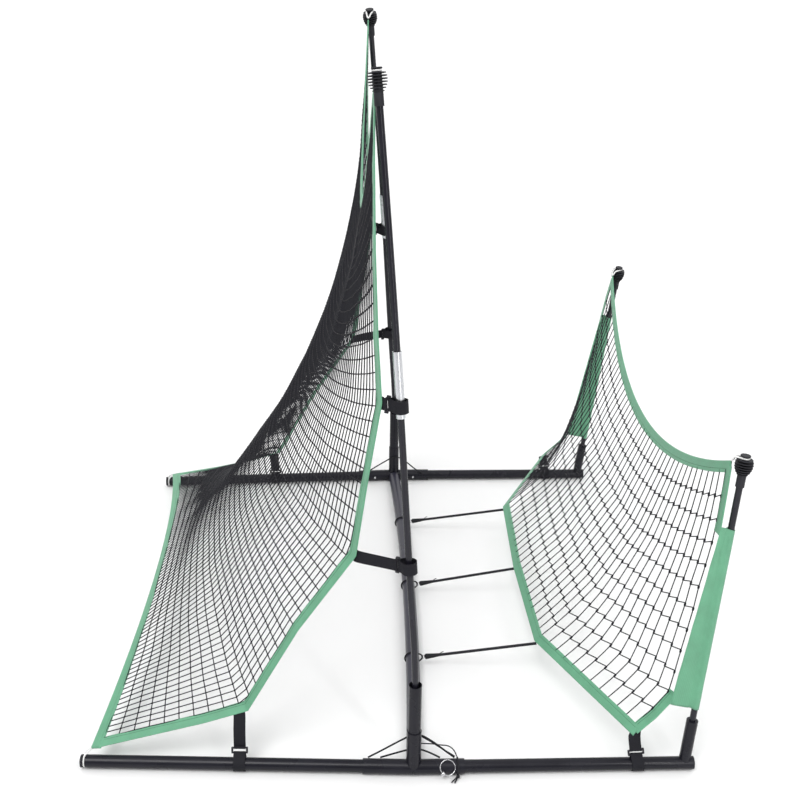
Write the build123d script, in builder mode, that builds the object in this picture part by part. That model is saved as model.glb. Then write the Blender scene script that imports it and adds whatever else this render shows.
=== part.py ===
from build123d import *
import math
import os

# Two-sided ball rebounder: a tall curved net on the -X side and a low net on the +X side,
# both stretched between flexible poles that stand on one H-shaped tube base.
# Frame: +X along the side rails towards the low net, Y across the base, Z up, millimetres.
# The origin is on the ground, midway between the two tees. "near" is the -Y side.

os.makedirs("parts", exist_ok=True)

# ---------------------------------------------------------------- driving dimensions
HALF_WIDTH = 762.0  # tee centre to the middle plane
TEE_OD = 38.0
RAIL_OD = 32.0
RAIL_WALL = 1.5
AXIS_Z = TEE_OD / 2  # every base tube lies on this height
RAIL_LEFT = 812.0  # tee centre to the left rail end, along X
RAIL_RIGHT = 698.0
TOE_IN = 2.8  # degrees that the left rails turn inwards
TEE_ARM = 126.0
SOCKET_OD = 36.0
SOCKET_TOP = 133.0
RISER_TOP = 271.0
RISER_BOTTOM = 42.0
SLIP = 0.15  # radial gap between tubes that plug together
CROSS_BOW = 22.0  # the elastics pull the cross tube this far towards +X
CROSS_LIFT = 7.0  # and this far up
CROSS_WALL = 2.0
CROSS_JOINT_Y = -200.0
SWAGE_LENGTH = 60.0

POLE_OD = 16.0
POLE_BOTTOM = 46.0
POLE_STRAIGHT_TOP = 235.0
FERRULE_OD = 21.0
FERRULE_SPAN = (0.506, 0.613)  # share of the free pole's length that the ferrule covers

CAP_FIN_RADII = (19.0, 21.0, 21.5, 21.0, 19.5, 17.0, 13.0)  # from the top fin down
CAP_FIN_PITCH = 6.0
CAP_FIN_THICKNESS = 2.2
CAP_CORE_RADIUS = 10.0
CAP_COLLAR_RADIUS = 10.5
CAP_COLLAR_LENGTH = 44.0
CAP_NECK_RADIUS = 6.8
CAP_HEAD_RADIUS = 12.0
CAP_RISE = 22.0  # from the pole's tip to the middle of the ball
CAP_NECK_BOTTOM = 14.8  # this and the next three are measured up from the middle of the ball
CAP_NECK_TOP = 21.0
CAP_HEAD_TOP = 25.0
CAP_BORE_TOP = -20.0
RAIL_CAP_NECK = 7.0
RAIL_CAP_NECK_RADIUS = 10.5
RAIL_CAP_HEAD = 6.0
RAIL_CAP_INSERT = 25.0
PLUG_INSERT = 18.0
PLUG_FACE = 3.0

SHORT_SOCKET_OD = 29.0
SHORT_SOCKET_LENGTH = 124.0
LOOP_CORD = 4.4
HEM_WIDTH = 28.0
HEM_THICK = 2.4
NET_THICK = 3.0
NET_U = 0.957  # the mesh panels stop this far out, inside their hems
TALL_NET_V = 0.026
LOW_NET_V = 0.052
CROSS_HEM_U = 0.985
SLEEVE_TOP_V = 0.218  # the low net's edge runs along the pole sleeve between these two
SLEEVE_BOTTOM_V = 0.811
SLEEVE_INNER = POLE_OD / 2 + 0.4
SLEEVE_OUTER = SLEEVE_INNER + 1.6

WEBBING = 30.0
WEBBING_THICK = 2.0
RAIL_RING_INNER = RAIL_OD / 2 + 0.5
POLE_RING_INNER = 17.0
UPPER_RING_SHARE = 0.525  # where the strap rings hang, as shares of the tall pole's bend
MIDDLE_RING_SHARE = 0.251
LOWER_STRAP_AT = 431.0  # tee centre to the strap, along the left rail
LOW_STRAP_AT = 560.0  # and along the right rail
LOWER_SEAM = Vector(-431, -698.5, 140)  # where the lower strap is sewn to the tall net's side hem
BUCKLE_WIDTH = 41.0
BUCKLE_BAR = 3.2
BUCKLE_THICK = 4.0
RAIL_BUCKLE = (35.0, 16.0)  # how far out its middle sits and how tall it is
POLE_BUCKLE = (28.0, 10.0)
BAND_GAP = 0.15  # between the webbing's folds and the buckle's bars

BUNGEE_OD = 8.0
TUBE_LOOP_OD = 4.4
HOOK_OD = 2.6
HOOK_RADIUS = 6.5
TUBE_LOOP_RADIUS = TEE_OD / 2 + 0.4 + TUBE_LOOP_OD / 2
HOOK_ALONG = TUBE_LOOP_RADIUS + TUBE_LOOP_OD / 2 + HOOK_RADIUS + HOOK_OD / 2 + 0.4
ELASTIC_START = HOOK_ALONG + HOOK_RADIUS + HOOK_OD / 2 + 0.4
ELASTIC_END_GAP = 3.0

BUTTON_X = 70.0
BUTTON_RADIUS = 4.0
BUTTON_CLEARANCE = 0.06
BUTTON_PROUD = 3.0
BUTTON_FLANGE_AT = 11.0
LEAF = (44.0, 8.0, 0.8)
PIN_X = 72.0
PIN_RADIUS = 3.0
PIN_HOLE_RADIUS = PIN_RADIUS + 0.06
PIN_LENGTH = 47.0  # from the middle of the head to the shank's tip
HEAD_RADIUS = 5.8
HEAD_HOLE_RADIUS = 2.2
RING_RADIUS = 18.5
RING_WIRE = 2.2
RING_LEAN = 37.5  # degrees that the ring leans back on the tee
RING_SIDE = 52.0  # degrees from +X to the ring's centre, seen along its own plane

LANYARD_OD = 4.5
LANYARD_Y = -HALF_WIDTH + SOCKET_OD / 2 + LANYARD_OD / 2 + 0.5
LANYARD_REST = (LANYARD_OD + TEE_OD) / 2 + 0.05  # cord centre to sleeve centre where it is tied
WRAP_X = 109.0
WRAP_START = -44.0  # degrees up from the sleeve's outer side
WRAP_END = 134.0
KNOT_RADIUS = 4.6
KNOT_CENTRE = Vector(WRAP_X, -787.0, 9.0)
TAIL_END = Vector(94, -802, 2.6)

# Corner and edge points on the near side; the far side mirrors them in Y.
TALL_TIP = Vector(-92, -561, 1627)
SHORT_BASE = Vector(678, -761, AXIS_Z)
SHORT_TIP = Vector(740.5, -687.5, 797)
RIGHT_DIR = Vector(1, 0, 0)
UP = Vector(0, 0, 1)

TALL_EDGE = [
    (-99, -527, 1652),
    (-100, -592, 1490),
    (-98, -632, 1310),
    (-92, -663, 1130),
    (-83, -683, 976),
    (-111, -686, 800),
    (-141, -690, 587),
    (-280, -690, 380),
    (-345, -694, 263),
    (-409, -698, 147),
    (-520, -700, 112),
    (-640, -705, 84),
    (-800, -716, 50),
]
TALL_MIDDLE = [
    (-121, 0, 1268),
    (-152, 0, 1110),
    (-192, 0, 985),
    (-246, 0, 850),
    (-310, 0, 712),
    (-388, 0, 575),
    (-478, 0, 440),
    (-568, 0, 318),
    (-652, 0, 215),
    (-736, 0, 130),
]
LOW_EDGE = [
    (721, -668, 823),
    (712, -690, 745),
    (703, -708, 660),
    (672, -728, 430),
    (641, -744, 208),
    (596, -752, 152),
    (545, -756, 99),
]
LOW_MIDDLE = [(682, 0, 637), (594, 0, 430), (480, 0, 250), (342, 0, 104)]
BUNGEE_Y = {"far": 410.0, "middle": 26.0, "near": -335.0}
BUNGEE_HEM = {
    "far": Vector(353, 369, 98),
    "middle": Vector(342, 0, 104),
    "near": Vector(353, -369, 98),
}
# The outer elastics pull a knee into the low net's lower hem, at this share of its half width
# and this share of the way from the middle line to the corner.
KNEE_U = BUNGEE_HEM["near"].Y / LOW_EDGE[-1][1]
KNEE_BOW = (BUNGEE_HEM["near"].X - LOW_MIDDLE[-1][0]) / (LOW_EDGE[-1][0] - LOW_MIDDLE[-1][0])


# ---------------------------------------------------------------- helpers
def save(part, name):
    part.label = name
    export_step(part, f"parts/{name}.step")


def save_pair(near_part, name):
    """Write a near-side piece and its mirror image on the far side."""
    save(near_part, f"near_{name}")
    with BuildPart() as far_part:
        mirror(near_part, about=Plane.XZ, mode=Mode.ADD)
    save(far_part.part, f"far_{name}")


def rod(start, end, radius, mode=Mode.ADD):
    """A round bar between two points, added to the part in progress."""
    with BuildSketch(Plane(origin=start, z_dir=end - start)) as profile:
        Circle(radius)
    extrude(profile.sketch, amount=(end - start).length, mode=mode)


def strap_band(start, end, width_dir):
    """A flat length of webbing between two points, added to the part in progress."""
    with BuildSketch(Plane(origin=start, x_dir=width_dir, z_dir=end - start)) as profile:
        Rectangle(WEBBING, WEBBING_THICK)
    extrude(profile.sketch, amount=(end - start).length)


def webbing_ring(centre, axis, inner_radius):
    """A turn of webbing round a tube or pole, added to the part in progress."""
    with BuildSketch(Plane(origin=centre - axis.normalized() * WEBBING / 2, z_dir=axis)) as profile:
        Circle(inner_radius + WEBBING_THICK)
        Circle(inner_radius, mode=Mode.SUBTRACT)
    extrude(profile.sketch, amount=WEBBING)


def along(points, fraction):
    """The point at a fraction of a polyline's length."""
    vectors = [Vector(*p) for p in points]
    lengths = [(b - a).length for a, b in zip(vectors, vectors[1:])]
    left = fraction * sum(lengths)
    for a, b, length in zip(vectors, vectors[1:], lengths):
        if left <= length:
            return a + (b - a) * (left / length)
        left -= length
    return vectors[-1]


def tall_surface(u, v):
    """The tall net's surface: u from -1 near to 1 far, v from 0 top to 1 bottom."""
    edge = along(TALL_EDGE, v)
    middle = along(TALL_MIDDLE, v)
    bow = u * u
    return Vector(
        middle.X + (edge.X - middle.X) * bow,
        -u * edge.Y,
        middle.Z + (edge.Z - middle.Z) * bow,
    )


def low_surface(u, v):
    """The low net's surface; its lower hem has a knee at each outer elastic."""
    edge = along(LOW_EDGE, v)
    middle = along(LOW_MIDDLE, v)
    straight = KNEE_BOW * abs(u) / KNEE_U
    if abs(u) > KNEE_U:
        straight = KNEE_BOW + (1 - KNEE_BOW) * (abs(u) - KNEE_U) / (1 - KNEE_U)
    bow = (1 - v) * u * u + v * straight
    return Vector(
        middle.X + (edge.X - middle.X) * bow,
        -u * edge.Y,
        middle.Z + (edge.Z - middle.Z) * bow,
    )


def patch(surface, u_range, v_range, counts, thickness):
    """A thin closed solid over one rectangle of a net's surface, added to the part in progress."""
    grid = [
        [
            surface(
                u_range[0] + (u_range[1] - u_range[0]) * i / (counts[0] - 1),
                v_range[0] + (v_range[1] - v_range[0]) * j / (counts[1] - 1),
            )
            for j in range(counts[1])
        ]
        for i in range(counts[0])
    ]
    face = Face.make_surface_from_array_of_points(grid, min_deg=1, max_deg=3)
    thicken(to_thicken=face, amount=thickness / 2, both=True)


# ---------------------------------------------------------------- base frame
tee_centre = Vector(0, -HALF_WIDTH, AXIS_Z)
toe = math.radians(TOE_IN)
left_dir = Vector(-math.cos(toe), math.sin(toe), 0)
cross_rise = math.hypot(CROSS_BOW, CROSS_LIFT)
cross_radius = (HALF_WIDTH**2 + cross_rise**2) / (2 * cross_rise)


def cross_point(y):
    """A point on the bowed centre line of the ground cross tube."""
    share = (math.sqrt(cross_radius**2 - y**2) - cross_radius + cross_rise) / cross_rise
    return Vector(CROSS_BOW * share, y, AXIS_Z + CROSS_LIFT * share)


def make_tee(button_sides, pinned):
    """Welded tee: a sleeve for two rails and an upright socket, with its pin and button holes."""
    with BuildPart() as tee:
        rod(tee_centre, tee_centre + Vector(TEE_ARM, 0, 0), TEE_OD / 2)
        rod(tee_centre, tee_centre + left_dir * TEE_ARM, TEE_OD / 2)
        rod(tee_centre, Vector(0, -HALF_WIDTH, SOCKET_TOP), SOCKET_OD / 2)
        bore = RAIL_OD / 2 + SLIP
        rod(tee_centre + Vector(16, 0, 0), tee_centre + Vector(TEE_ARM + 5, 0, 0), bore, Mode.SUBTRACT)
        rod(tee_centre + left_dir * 16, tee_centre + left_dir * (TEE_ARM + 5), bore, Mode.SUBTRACT)
        rod(
            Vector(0, -HALF_WIDTH, RISER_BOTTOM - 1),
            Vector(0, -HALF_WIDTH, SOCKET_TOP + 5),
            bore,
            Mode.SUBTRACT,
        )
        for direction in button_sides:
            button_at = tee_centre + direction * BUTTON_X
            inward = UP.cross(direction) * (1 if direction.X > 0 else -1)
            rod(button_at, button_at + inward * 30, BUTTON_RADIUS + BUTTON_CLEARANCE, Mode.SUBTRACT)
        if pinned:
            pin_at = tee_centre + Vector(PIN_X, 0, 0)
            rod(pin_at - Vector(0, 30, 0), pin_at + Vector(0, 30, 0), PIN_HOLE_RADIUS, Mode.SUBTRACT)
    return tee.part


def rail_tube(direction, length, has_button, has_pin):
    """A side rail from inside the tee sleeve to its outer end, added to the part in progress."""
    start = tee_centre + direction * 18
    end = tee_centre + direction * length
    rod(start, end, RAIL_OD / 2)
    rod(start, end, RAIL_OD / 2 - RAIL_WALL, Mode.SUBTRACT)
    if has_button:
        button_at = tee_centre + direction * BUTTON_X
        inward = UP.cross(direction) * (1 if direction.X > 0 else -1)
        rod(button_at, button_at + inward * 30, BUTTON_RADIUS + BUTTON_CLEARANCE, Mode.SUBTRACT)
    if has_pin:
        pin_at = tee_centre + Vector(PIN_X, 0, 0)
        rod(pin_at - Vector(0, 30, 0), pin_at + Vector(0, 30, 0), PIN_HOLE_RADIUS, Mode.SUBTRACT)


def make_left_rail():
    with BuildPart() as rail:
        rail_tube(left_dir, RAIL_LEFT / math.cos(toe), True, False)
    return rail.part


short_dir = (SHORT_TIP - SHORT_BASE).normalized()
socket_mouth = SHORT_BASE + short_dir * SHORT_SOCKET_LENGTH


def make_right_rail(has_button, has_pin):
    """The right rail with its welded, outward-leaning socket for the short pole."""
    with BuildPart() as rail:
        rod(SHORT_BASE, socket_mouth, SHORT_SOCKET_OD / 2)
        rod(tee_centre + Vector(RAIL_RIGHT - 45, 0, 0), tee_centre + Vector(RAIL_RIGHT, 0, 0), RAIL_OD / 2)
        rail_tube(RIGHT_DIR, RAIL_RIGHT, has_button, has_pin)
        rod(
            SHORT_BASE + short_dir * 22,
            socket_mouth + short_dir * 5,
            POLE_OD / 2 + SLIP,
            Mode.SUBTRACT,
        )
    return rail.part


with BuildPart() as near_left_rail:
    add(make_left_rail())
save_pair(near_left_rail.part, "left_rail")

with BuildPart() as near_right_rail:
    add(make_right_rail(False, True))
save(near_right_rail.part, "near_right_rail")

with BuildPart() as far_right_rail:
    mirror(make_right_rail(True, False), about=Plane.XZ, mode=Mode.ADD)
save(far_right_rail.part, "far_right_rail")

with BuildPart() as near_tee:
    add(make_tee([left_dir], True))
save(near_tee.part, "near_tee")

with BuildPart() as far_tee:
    mirror(make_tee([left_dir, RIGHT_DIR], False), about=Plane.XZ, mode=Mode.ADD)
save(far_tee.part, "far_tee")


# ---------------------------------------------------------------- ground cross tube
def swept_tube(path, outer, inner=0.0, mode=Mode.ADD):
    """A round tube along a path, added to the part in progress."""
    with BuildSketch(Plane(origin=path @ 0, z_dir=path % 0)) as profile:
        Circle(outer)
        if inner:
            Circle(inner, mode=Mode.SUBTRACT)
    sweep(profile.sketch, path=path, mode=mode)


def cross_arc(y_start, y_end):
    return ThreePointArc(cross_point(y_start), cross_point((y_start + y_end) / 2), cross_point(y_end))


def cut_tee_saddle(side):
    """Cut the end of a cross tube to the outside of its tee."""
    centre = Vector(0, side * HALF_WIDTH, AXIS_Z)
    left = Vector(left_dir.X, -side * left_dir.Y, 0)
    for direction in (RIGHT_DIR, left):
        rod(centre, centre + direction * TEE_ARM, TEE_OD / 2 + SLIP, Mode.SUBTRACT)
    rod(centre, centre + UP * SOCKET_TOP, SOCKET_OD / 2 + SLIP, Mode.SUBTRACT)


cross_outer = TEE_OD / 2
cross_inner = cross_outer - CROSS_WALL
swage_outer = cross_inner - SLIP
swage_inner = swage_outer - CROSS_WALL

with BuildLine(mode=Mode.PRIVATE):
    near_cross_arc = cross_arc(-HALF_WIDTH + 4, CROSS_JOINT_Y)
    far_cross_arc = cross_arc(HALF_WIDTH - 4, CROSS_JOINT_Y + SLIP)
    shoulder_arc = cross_arc(CROSS_JOINT_Y + 25, CROSS_JOINT_Y + SLIP)
    swage_arc = cross_arc(CROSS_JOINT_Y + 5, CROSS_JOINT_Y - SWAGE_LENGTH)

with BuildPart() as near_cross_tube:
    swept_tube(near_cross_arc, cross_outer, cross_inner)
    cut_tee_saddle(-1)
save(near_cross_tube.part, "near_cross_tube")

with BuildPart() as far_cross_tube:
    swept_tube(far_cross_arc, cross_outer, cross_inner)
    swept_tube(shoulder_arc, cross_inner + 1, swage_inner)
    swept_tube(swage_arc, swage_outer, swage_inner)
    cut_tee_saddle(1)
save(far_cross_tube.part, "far_cross_tube")

# ---------------------------------------------------------------- tall poles
riser_base = Vector(0, -HALF_WIDTH, RISER_BOTTOM)
with BuildPart() as near_riser:
    rod(riser_base, Vector(0, -HALF_WIDTH, RISER_TOP), RAIL_OD / 2)
    rod(
        Vector(0, -HALF_WIDTH, POLE_STRAIGHT_TOP - 5),
        Vector(0, -HALF_WIDTH, RISER_TOP + 5),
        RAIL_OD / 2 - RAIL_WALL,
        Mode.SUBTRACT,
    )
    rod(
        Vector(0, -HALF_WIDTH, POLE_BOTTOM - 1),
        Vector(0, -HALF_WIDTH, RISER_TOP),
        POLE_OD / 2 + SLIP,
        Mode.SUBTRACT,
    )
save_pair(near_riser.part, "riser")

# The tall pole is upright in the riser and bends smoothly back and inwards above it.
with BuildLine(mode=Mode.PRIVATE):
    pole_foot = Line((0, -HALF_WIDTH, POLE_BOTTOM), (0, -HALF_WIDTH, POLE_STRAIGHT_TOP))
    pole_bend = Spline(
        (0, -HALF_WIDTH, POLE_STRAIGHT_TOP),
        (-13, -747, 501),
        (-45, -682, 1005),
        (-76, -604, 1428),
        TALL_TIP,
        tangents=[(0, 0, 1), (-16, 43, 199)],
    )
    pole_joint = sum(FERRULE_SPAN) / 2
    lower_bend = pole_bend.trim(0, pole_joint - 0.001)
    upper_bend = pole_bend.trim(pole_joint, 1)
    ferrule_path = pole_bend.trim(*FERRULE_SPAN)

with BuildPart() as near_lower_pole:
    swept_tube(pole_foot, POLE_OD / 2)
    swept_tube(lower_bend, POLE_OD / 2)
save_pair(near_lower_pole.part, "lower_pole")

with BuildPart() as near_upper_pole:
    swept_tube(upper_bend, POLE_OD / 2)
save_pair(near_upper_pole.part, "upper_pole")

with BuildPart() as near_ferrule:
    swept_tube(ferrule_path, FERRULE_OD / 2, POLE_OD / 2 + SLIP)
save_pair(near_ferrule.part, "ferrule")

with BuildPart() as near_short_pole:
    rod(SHORT_BASE + short_dir * 24, SHORT_TIP, POLE_OD / 2)
save_pair(near_short_pole.part, "short_pole")

# ---------------------------------------------------------------- finned ball caps
def axis_plane(origin, axis):
    """A plane whose Y runs along an axis, for a profile that is turned about it."""
    across = Vector(0, 1, 0) if abs(axis.Y) < 0.9 else Vector(1, 0, 0)
    radial = axis.cross(across).normalized()
    return Plane(origin=origin, x_dir=radial, z_dir=radial.cross(axis))


def make_cap(centre, axis):
    """A ball of thin round fins on a pole collar, with a neck groove and a button head."""
    with BuildPart() as cap:
        with BuildSketch(axis_plane(centre, axis)) as profile:
            with Locations((0, (CAP_BORE_TOP - CAP_COLLAR_LENGTH + 2) / 2)):
                Rectangle(2 * CAP_COLLAR_RADIUS, CAP_COLLAR_LENGTH)
            with Locations((0, (CAP_BORE_TOP + CAP_NECK_BOTTOM) / 2)):
                Rectangle(2 * CAP_CORE_RADIUS, CAP_NECK_BOTTOM - CAP_BORE_TOP)
            for index, radius in enumerate(CAP_FIN_RADII):
                with Locations((0, CAP_NECK_BOTTOM - CAP_FIN_THICKNESS / 2 - index * CAP_FIN_PITCH)):
                    RectangleRounded(2 * radius, CAP_FIN_THICKNESS, CAP_FIN_THICKNESS * 0.4)
            with Locations((0, (CAP_NECK_BOTTOM + CAP_NECK_TOP) / 2)):
                Rectangle(2 * CAP_NECK_RADIUS, CAP_NECK_TOP - CAP_NECK_BOTTOM + 2)
            with Locations((0, (CAP_NECK_TOP + CAP_HEAD_TOP) / 2)):
                RectangleRounded(2 * CAP_HEAD_RADIUS, CAP_HEAD_TOP - CAP_NECK_TOP, 1.6)
            with Locations((-50, 0)):
                Rectangle(100, 200, mode=Mode.SUBTRACT)
        revolve(profile.sketch, axis=Axis(centre, axis))
        rod(
            centre + axis * (CAP_BORE_TOP - CAP_COLLAR_LENGTH),
            centre + axis * CAP_BORE_TOP,
            POLE_OD / 2 + SLIP,
            Mode.SUBTRACT,
        )
    return cap.part


tall_axis = (pole_bend % 1).normalized()
tall_cap_centre = TALL_TIP + tall_axis * CAP_RISE
short_cap_centre = SHORT_TIP + short_dir * CAP_RISE

with BuildPart() as near_tall_cap:
    add(make_cap(tall_cap_centre, tall_axis))
save_pair(near_tall_cap.part, "tall_cap")

with BuildPart() as near_short_cap:
    add(make_cap(short_cap_centre, short_dir))
save_pair(near_short_cap.part, "short_cap")

# ---------------------------------------------------------------- rail ends
rail_end = tee_centre + left_dir * (RAIL_LEFT / math.cos(toe))

with BuildPart() as near_rail_cap:
    rod(rail_end - left_dir * RAIL_CAP_INSERT, rail_end, RAIL_OD / 2 - RAIL_WALL - SLIP)
    rod(rail_end - left_dir * 2, rail_end + left_dir * (RAIL_CAP_NECK + 1), RAIL_CAP_NECK_RADIUS)
    with BuildSketch(axis_plane(rail_end + left_dir * RAIL_CAP_NECK, left_dir)) as head:
        with Locations((0, RAIL_CAP_HEAD / 2)):
            RectangleRounded(RAIL_OD, RAIL_CAP_HEAD, 2)
        with Locations((-50, 0)):
            Rectangle(100, 100, mode=Mode.SUBTRACT)
    revolve(head.sketch, axis=Axis(rail_end, left_dir))
save_pair(near_rail_cap.part, "rail_cap")

plug_face = tee_centre + RIGHT_DIR * (RAIL_RIGHT + SLIP)
with BuildPart() as rail_end_plugs:
    for side in (-1, 1):
        face_at = Vector(plug_face.X, side * HALF_WIDTH, AXIS_Z)
        rod(face_at - RIGHT_DIR * PLUG_INSERT, face_at, RAIL_OD / 2 - RAIL_WALL - SLIP)
        rod(face_at, face_at + RIGHT_DIR * PLUG_FACE, RAIL_OD / 2)
save(rail_end_plugs.part, "rail_end_plugs")


# ---------------------------------------------------------------- elastic corner loops
def elastic_loop(centre, axis, ring_radius, way_out, corner):
    """A white elastic cord ring round a neck, with a leg to the net's corner."""
    ring_plane = axis_plane(centre, axis)
    with BuildSketch(ring_plane) as wire:
        with Locations((ring_radius, 0)):
            Circle(LOOP_CORD / 2)
    revolve(wire.sketch, axis=Axis(centre, axis))
    outward = corner - centre
    outward = (outward - axis * outward.dot(axis)).normalized()
    turn = centre + outward * way_out[0] + axis * way_out[1]
    leg_end = corner - (corner - turn).normalized() * (LOOP_CORD / 2 + 0.6)
    with BuildLine(mode=Mode.PRIVATE):
        leg = FilletPolyline(centre + outward * ring_radius, turn, leg_end, radius=3)
    swept_tube(leg, LOOP_CORD / 2)


loop_height = (CAP_NECK_BOTTOM + CAP_NECK_TOP) / 2
loop_ring = CAP_NECK_RADIUS + LOOP_CORD / 2 + 0.4


def pole_cap_loop(centre, axis, corner):
    elastic_loop(centre + axis * loop_height, axis, loop_ring, (22, -0.8), corner)


with BuildPart() as near_cap_loops:
    pole_cap_loop(tall_cap_centre, tall_axis, Vector(*TALL_EDGE[0]))
    pole_cap_loop(short_cap_centre, short_dir, Vector(*LOW_EDGE[0]))
with BuildPart() as pole_cap_loops:
    add(near_cap_loops.part)
    mirror(near_cap_loops.part, about=Plane.XZ, mode=Mode.ADD)
save(pole_cap_loops.part, "pole_cap_loops")

with BuildPart() as near_rail_loop:
    elastic_loop(
        rail_end + left_dir * RAIL_CAP_NECK / 2,
        left_dir,
        RAIL_CAP_NECK_RADIUS + LOOP_CORD / 2 + 0.4,
        (19, -1),
        Vector(*TALL_EDGE[-1]),
    )
with BuildPart() as rail_cap_loops:
    add(near_rail_loop.part)
    mirror(near_rail_loop.part, about=Plane.XZ, mode=Mode.ADD)
save(rail_cap_loops.part, "rail_cap_loops")

# ---------------------------------------------------------------- nets and their fabric hems
def ribbon(stations, mode=Mode.ADD):
    """A flat strip through (edge point, inner point) stations, added to the part in progress."""
    inwards = [(inner - edge).normalized() for edge, inner in stations]
    centres = [edge + inward * HEM_WIDTH / 2 for (edge, _), inward in zip(stations, inwards)]
    sections = []
    for index, (centre, inward) in enumerate(zip(centres, inwards)):
        before = centres[max(index - 1, 0)]
        after = centres[min(index + 1, len(centres) - 1)]
        with BuildSketch(Plane(origin=centre, x_dir=inward, z_dir=after - before)) as section:
            Rectangle(HEM_WIDTH, HEM_THICK)
        sections.append(section.sketch.face())
    loft(sections, ruled=True, mode=mode)


def cross_hem(surface, v_edge, v_inner, steps):
    """The hem along the top or bottom of a net."""
    sides = [CROSS_HEM_U * (2 * index / steps - 1) for index in range(steps + 1)]
    ribbon([(surface(u, v_edge), surface(u, v_inner)) for u in sides])


def side_hem(surface, side, v_start, v_end, steps):
    """The hem along part of one side edge of a net."""
    heights = [v_start + (v_end - v_start) * index / steps for index in range(steps + 1)]
    ribbon([(surface(side, v), surface(side * 0.95, v)) for v in heights])


with BuildPart() as tall_net:
    patch(tall_surface, (-NET_U, NET_U), (TALL_NET_V, 1 - TALL_NET_V), (15, 19), NET_THICK)
save(tall_net.part, "tall_net")

with BuildPart() as tall_net_top_hem:
    cross_hem(tall_surface, 0, 0.03, 16)
save(tall_net_top_hem.part, "tall_net_top_hem")

with BuildPart() as tall_net_front_hem:
    cross_hem(tall_surface, 1, 0.97, 16)
save(tall_net_front_hem.part, "tall_net_front_hem")

with BuildPart() as tall_net_side_hems:
    for side in (-1, 1):
        side_hem(tall_surface, side, 0.021, 0.977, 28)
save(tall_net_side_hems.part, "tall_net_side_hems")

with BuildPart() as low_net:
    patch(low_surface, (-NET_U, NET_U), (LOW_NET_V, 1 - LOW_NET_V), (17, 9), NET_THICK)
save(low_net.part, "low_net")

with BuildPart() as low_net_top_hem:
    cross_hem(low_surface, 0, 0.06, 16)
save(low_net_top_hem.part, "low_net_top_hem")

with BuildPart() as low_net_bottom_hem:
    cross_hem(low_surface, 1, 0.94, 24)
save(low_net_bottom_hem.part, "low_net_bottom_hem")

with BuildPart() as low_net_side_hems:
    for side in (-1, 1):
        side_hem(low_surface, side, 0.05, SLEEVE_TOP_V - 0.01, 4)
        side_hem(low_surface, side, SLEEVE_BOTTOM_V + 0.01, 0.945, 4)
save(low_net_side_hems.part, "low_net_side_hems")

# ---------------------------------------------------------------- pole sleeves
SLEEVE_TOP = Vector(*LOW_EDGE[2])
SLEEVE_BOTTOM = Vector(*LOW_EDGE[4])


def pole_point(height):
    """The point on the short pole's axis at a height."""
    return SHORT_BASE + short_dir * ((height - AXIS_Z) / short_dir.Z)


with BuildPart() as near_pole_sleeve:
    flap_ends = []
    for edge in (SLEEVE_TOP, SLEEVE_BOTTOM):
        axis_point = pole_point(edge.Z - 8)
        inner = axis_point + (edge - axis_point).normalized() * (SLEEVE_INNER + 1)
        with BuildSketch(
            Plane(origin=(inner + edge) / 2, x_dir=edge - inner, z_dir=-short_dir)
        ) as flap_end:
            Rectangle((edge - inner).length, HEM_THICK)
        flap_ends.append(flap_end.sketch.face())
    loft(flap_ends, ruled=True)
    rod(pole_point(SLEEVE_BOTTOM.Z - 42), pole_point(SLEEVE_TOP.Z), SLEEVE_OUTER)
    rod(
        pole_point(SLEEVE_BOTTOM.Z - 60),
        pole_point(SLEEVE_TOP.Z + 20),
        SLEEVE_INNER,
        Mode.SUBTRACT,
    )
save_pair(near_pole_sleeve.part, "pole_sleeve")

# ---------------------------------------------------------------- webbing straps and buckles
def strap_end(corner, ring_centre, short_by):
    """Where a strap stops, just short of the hem edge that it is sewn to."""
    return corner - (corner - ring_centre).normalized() * short_by


def make_strap(centre, axis, inner_radius, corner, short_by, buckle_at):
    """Webbing round a tube and up to one bar of its buckle, then from the other bar to a hem."""
    end = strap_end(corner, centre, short_by)
    run = (end - centre).normalized()
    along_run, height = buckle_at
    below = centre + run * (along_run - height / 2 - BAND_GAP)
    above = centre + run * (along_run + height / 2 + BAND_GAP)
    lean = abs(run.dot(axis))
    start = (inner_radius + 0.5 + lean * WEBBING / 2) / math.sqrt(1 - lean**2)
    with BuildPart() as strap:
        webbing_ring(centre, axis, inner_radius)
        strap_band(centre + run * start, below, axis)
        strap_band(above, end, axis)
    return strap.part


def buckle(centre, axis, corner, short_by, buckle_at):
    """An open rectangular frame whose two bars hold the webbing, added to the part in progress."""
    run = (strap_end(corner, centre, short_by) - centre).normalized()
    along_run, height = buckle_at
    face_dir = axis.cross(run).normalized()
    middle = centre + run * along_run - face_dir * BUCKLE_THICK / 2
    with BuildSketch(Plane(origin=middle, x_dir=face_dir.cross(run), z_dir=face_dir)) as frame:
        RectangleRounded(BUCKLE_WIDTH, height, 1.5)
        Rectangle(BUCKLE_WIDTH - 9, height - 2 * BUCKLE_BAR, mode=Mode.SUBTRACT)
    extrude(frame.sketch, amount=BUCKLE_THICK)


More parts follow.
